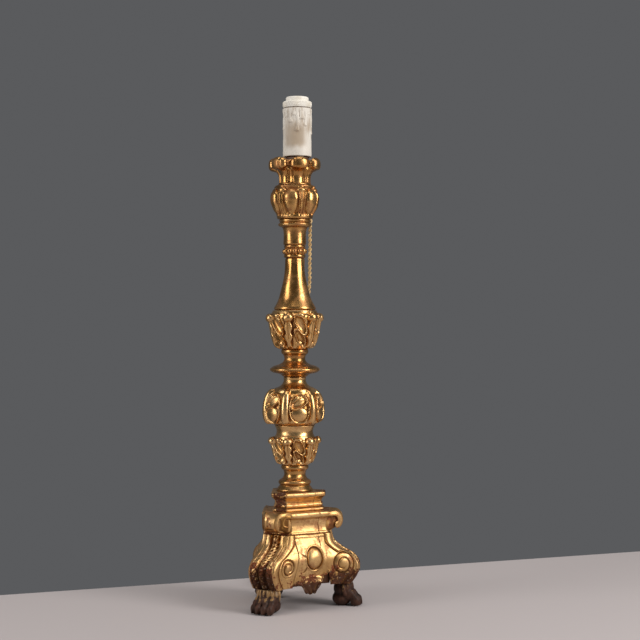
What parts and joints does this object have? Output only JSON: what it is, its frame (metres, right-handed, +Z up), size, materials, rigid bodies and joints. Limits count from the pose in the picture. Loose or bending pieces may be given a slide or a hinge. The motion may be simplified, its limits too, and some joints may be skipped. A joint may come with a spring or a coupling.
{
  "type": "altar candlestick",
  "caption": "Carved giltwood altar candlestick: baluster stem on a scrolled three-sided base with lion paws, wired as a lamp with candle sleeve, screw holder, cord and plug.",
  "frame": {"origin": "on the table, under the middle of the candlestick's box with the cord left out, 13.3 mm along +X from the stem's axis", "axes": "+Z up along the stem; +X along one leg; -Y is the viewer's side"},
  "size_m": [0.127, 0.2578, 0.583],
  "materials": {
    "gilded_wood": "burnished gold leaf over red bole on carved wood, rubbed at the edges",
    "worn_wood": "dark brown wood with the gold almost worn away",
    "bare_wood": "plain turned dowel",
    "stained_wood": "dark stained and waxed",
    "holder_plastic": "ivory, slightly aged",
    "sleeve_plastic": "wax white with stained drips",
    "porcelain": "unglazed white",
    "brass": "bare",
    "steel": "zinc plated",
    "flex": "gold-coloured twisted flex",
    "fibre": "brown woven",
    "plug_plastic": "dark brown moulded"
  },
  "bodies": {
    "stand": {"base_body": "gilded_wood", "scroll_cap": "gilded_wood", "plinth": "gilded_wood", "leg_right": "gilded_wood", "leg_back": "gilded_wood", "leg_front": "gilded_wood", "paw_right": "worn_wood", "paw_back": "worn_wood", "paw_front": "worn_wood", "paw_dowel_right": "bare_wood", "paw_dowel_back": "bare_wood", "paw_dowel_front": "bare_wood", "stem_foot": "gilded_wood", "lower_calyx": "gilded_wood", "leaf_knop": "gilded_wood", "disc_collar": "gilded_wood", "upper_calyx": "gilded_wood", "shaft": "gilded_wood", "bead_ring": "gilded_wood", "neck_collar": "gilded_wood", "gadroon_knop": "gilded_wood", "cup": "gilded_wood", "cup_plug": "stained_wood", "lamp_pipe": "steel", "pipe_washer": "steel", "pipe_nut": "steel", "holder_cap": "holder_plastic", "holder_shell": "holder_plastic", "contact_block": "porcelain", "screw_contact": "brass", "terminal_screw_1": "brass", "terminal_screw_2": "brass", "inner_lead": "flex", "cord_run": "flex", "cord_coil": "flex", "cord_tail": "flex", "cord_bush": "fibre", "coil_tie": "fibre", "plug_sleeve": "plug_plastic", "plug_body": "plug_plastic", "plug_pin_1": "steel", "plug_pin_2": "steel"},
    "sleeve": {"candle_sleeve": "sleeve_plastic"},
    "ring": {"shade_ring": "holder_plastic"},
    "tongue": {"centre_contact": "brass"}
  },
  "joints": [
    {"name": "sleeve_lift", "type": "slide", "parent": "stand", "child": "sleeve", "axis": [0, 0, 1], "range_m": [0, 0.075]},
    {"name": "ring_turn", "type": "hinge", "parent": "sleeve", "child": "ring", "pos_m": [-0.01048, 0, 0.57415], "axis": [0, 0, 1], "range_deg": [0, 2124]},
    {"name": "contact_press", "type": "hinge", "parent": "stand", "child": "tongue", "pos_m": [-0.01499, 0, 0.5479], "axis": [0, 1, 0], "range_deg": [0, 8], "stiffness_Nm_per_rad": 0.13}
  ]
}
